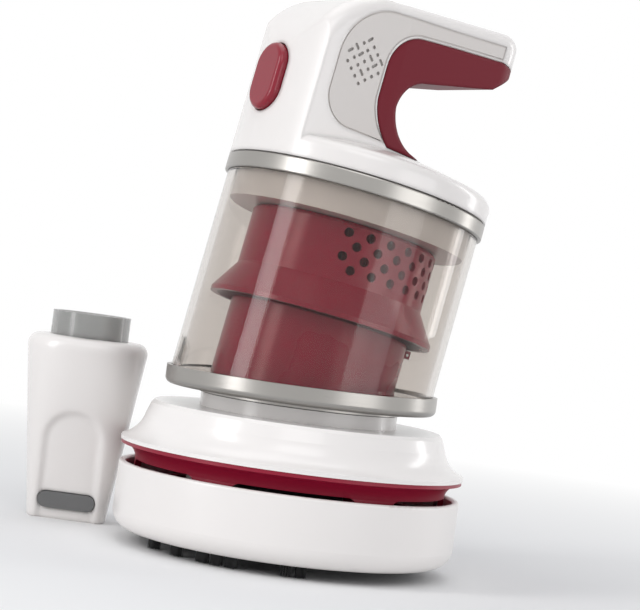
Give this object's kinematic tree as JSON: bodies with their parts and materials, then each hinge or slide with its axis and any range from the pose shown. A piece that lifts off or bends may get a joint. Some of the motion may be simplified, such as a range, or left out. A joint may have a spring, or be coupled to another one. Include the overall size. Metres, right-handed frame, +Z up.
{
  "type": "keyboard vacuum cleaner",
  "caption": "Handheld desk vacuum with a leaning clear dust cup, hooked handle, perforated red filter cage and a round brush head, with a crevice nozzle beside it",
  "frame": {"origin": "on the desk, under the brush head's axis", "axes": "+Z up, +X towards the open end of the handle, +Y to its left; right-handed"},
  "size_m": [0.1265, 0.137, 0.1808],
  "materials": {
    "white_shell": "satin white moulded ABS",
    "grey_panel": "light warm grey moulded panel",
    "red_soft": "dark red satin moulding",
    "red_gloss": "glossy red push button",
    "brushed_ring": "brushed and clear coated trim ring",
    "clear_cup": "smoky clear plastic cup",
    "nozzle_clear": "grey clear moulding",
    "dark_grey": "dark grey moulding",
    "bristle_black": "black nylon bristles",
    "black_rubber": "soft rubber",
    "paper": "pleated filter paper",
    "screw_steel": "zinc plated steel",
    "motor_steel": "plain steel can",
    "cell_wrap": "shrink wrapped cell",
    "board_green": "printed circuit board"
  },
  "bodies": {
    "head": {"bumper_skirt": "white_shell", "slotted_ring": "red_soft", "head_cover": "white_shell", "mouth_plate": "dark_grey", "head_screws": "screw_steel", "bristles_front_1": "bristle_black", "bristles_front_2": "bristle_black", "bristles_front_3": "bristle_black", "bristles_rear_1": "bristle_black", "bristles_rear_2": "bristle_black", "bristles_rear_3": "bristle_black"},
    "cup": {"base_ring": "brushed_ring", "dust_cup": "clear_cup", "inlet_riser": "red_soft", "inlet_seal": "black_rubber", "flap_pin": "screw_steel"},
    "flap": {"flap_valve": "black_rubber"},
    "hand_unit": {"collar": "white_shell", "motor_deck": "dark_grey", "motor": "motor_steel", "housing": "white_shell", "side_panel_right": "grey_panel", "side_panel_left": "grey_panel", "grip_insert": "red_soft", "charge_port": "screw_steel", "power_switch": "dark_grey", "switch_bracket": "dark_grey", "battery_tray": "dark_grey", "battery_cells": "cell_wrap", "control_board": "board_green"},
    "ring": {"lock_ring": "brushed_ring"},
    "rotor": {"motor_shaft": "screw_steel", "impeller": "dark_grey"},
    "filter": {"filter_cage": "red_soft", "filter_pleats": "paper"},
    "button": {"power_button": "red_gloss"},
    "nozzle": {"nozzle_body": "white_shell", "nozzle_window": "dark_grey", "nozzle_neck": "nozzle_clear"}
  },
  "joints": [
    {"name": "cup_lift", "type": "slide", "parent": "head", "child": "cup", "axis": [0, 0, 1], "range_m": [0, 0.014]},
    {"name": "flap_swing", "type": "hinge", "parent": "cup", "child": "flap", "pos_m": [0.03331, 0, 0.0696], "axis": [0, -1, 0], "range_deg": [0, 40]},
    {"name": "hand_unit_lift", "type": "slide", "parent": "cup", "child": "hand_unit", "axis": [0.1736, 0, 0.9848], "range_m": [0, 0.046]},
    {"name": "ring_twist", "type": "hinge", "parent": "hand_unit", "child": "ring", "pos_m": [0.01016, 0, 0.11511], "axis": [0.1736, 0, 0.9848], "range_deg": [0, 20]},
    {"name": "rotor_spin", "type": "hinge", "parent": "hand_unit", "child": "rotor", "pos_m": [0.01016, 0, 0.11511], "axis": [0.1736, 0, 0.9848], "continuous": true},
    {"name": "filter_twist", "type": "hinge", "parent": "hand_unit", "child": "filter", "pos_m": [0.01016, 0, 0.11511], "axis": [0.1736, 0, 0.9848], "range_deg": [0, 30]},
    {"name": "button_press", "type": "slide", "parent": "hand_unit", "child": "button", "axis": [0.9848, 0, -0.1736], "range_m": [0, 0.0012], "stiffness_N_per_m": 1500},
    {"name": "nozzle_lift", "type": "slide", "parent": "head", "child": "nozzle", "axis": [0, 0, 1], "range_m": [0, 0.08]}
  ]
}
